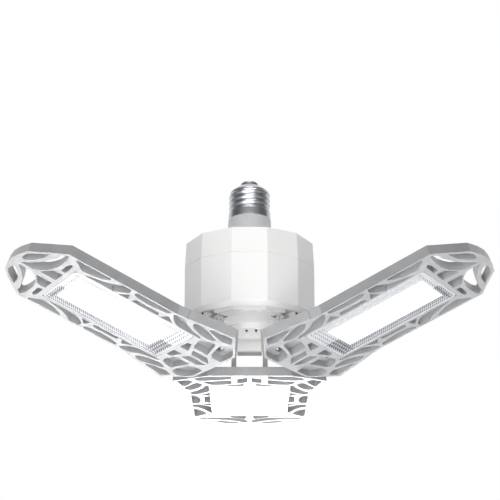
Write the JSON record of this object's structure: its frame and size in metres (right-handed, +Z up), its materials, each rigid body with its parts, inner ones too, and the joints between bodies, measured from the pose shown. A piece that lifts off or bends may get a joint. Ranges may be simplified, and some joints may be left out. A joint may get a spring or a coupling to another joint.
{
  "type": "led garage light",
  "caption": "Screw-in garage light: a twelve-sided driver housing on a screw cap, with folding ribbed arms that each hold a lensed LED panel and tilt on a hinge.",
  "frame": {"origin": "on the lamp's axis, where the plain skirt of the screw shell meets the collar", "axes": "+Z up along the screw cap, out of its centre contact; +Y over the rear arm; +X to the right in the picture"},
  "size_m": [0.2828, 0.258, 0.1259],
  "materials": {
    "contact_metal": "satin",
    "insulator": "semi-gloss",
    "shell_metal": "nickel plated",
    "grey_plastic": "satin",
    "white_plastic": "semi-gloss",
    "white_casting": "white paint on a casting",
    "screw_steel": "zinc plated",
    "insert_brass": "plain",
    "black_plastic": "matte",
    "board_green": "solder mask",
    "core_ferrite": "sintered",
    "winding_tape": "tape",
    "resistor_body": "coated",
    "bare_aluminium": "mill",
    "socket_plastic": "matte",
    "led_board": "white solder mask on aluminium",
    "led_chip": "phosphor",
    "lens_plastic": "frosted, prismatic"
  },
  "bodies": {
    "lamp_body": {"centre_contact": "contact_metal", "cap_insulator": "insulator", "screw_shell": "shell_metal", "cap_collar": "grey_plastic", "upper_housing": "white_plastic", "lower_housing": "white_plastic", "hub_base": "white_plastic", "hub_cap": "white_plastic", "hinge_screws": "screw_steel", "hinge_inserts": "insert_brass", "hinge_washers": "black_plastic", "driver_board": "board_green", "driver_screws": "screw_steel", "transformer_core": "core_ferrite", "transformer_winding": "winding_tape", "filter_capacitors": "black_plastic", "bridge_rectifier": "black_plastic", "drum_choke": "core_ferrite", "fuse_resistor": "resistor_body", "switch_transistor": "black_plastic", "heat_sink": "bare_aluminium", "arm_sockets": "socket_plastic", "live_lead": "black_plastic", "neutral_lead": "socket_plastic"},
    "left_arm": {"left_frame": "white_casting", "left_led_board": "led_board", "left_led_chips": "led_chip", "left_board_screws": "screw_steel", "left_lens": "lens_plastic"},
    "right_arm": {"right_frame": "white_casting", "right_led_board": "led_board", "right_led_chips": "led_chip", "right_board_screws": "screw_steel", "right_lens": "lens_plastic"},
    "rear_arm": {"rear_frame": "white_casting", "rear_led_board": "led_board", "rear_led_chips": "led_chip", "rear_board_screws": "screw_steel", "rear_lens": "lens_plastic"}
  },
  "joints": [
    {"name": "left_arm_tilt", "type": "hinge", "parent": "lamp_body", "child": "left_arm", "pos_m": [-0.02468, -0.01425, -0.0732], "axis": [-0.5, 0.866, 0], "range_deg": [-19.5, 70.4]},
    {"name": "right_arm_tilt", "type": "hinge", "parent": "lamp_body", "child": "right_arm", "pos_m": [0.02468, -0.01425, -0.0732], "axis": [-0.5, -0.866, 0], "range_deg": [-19.5, 70.4]},
    {"name": "rear_arm_tilt", "type": "hinge", "parent": "lamp_body", "child": "rear_arm", "pos_m": [0, 0.0285, -0.0732], "axis": [1, 0, 0], "range_deg": [0, 90]}
  ]
}
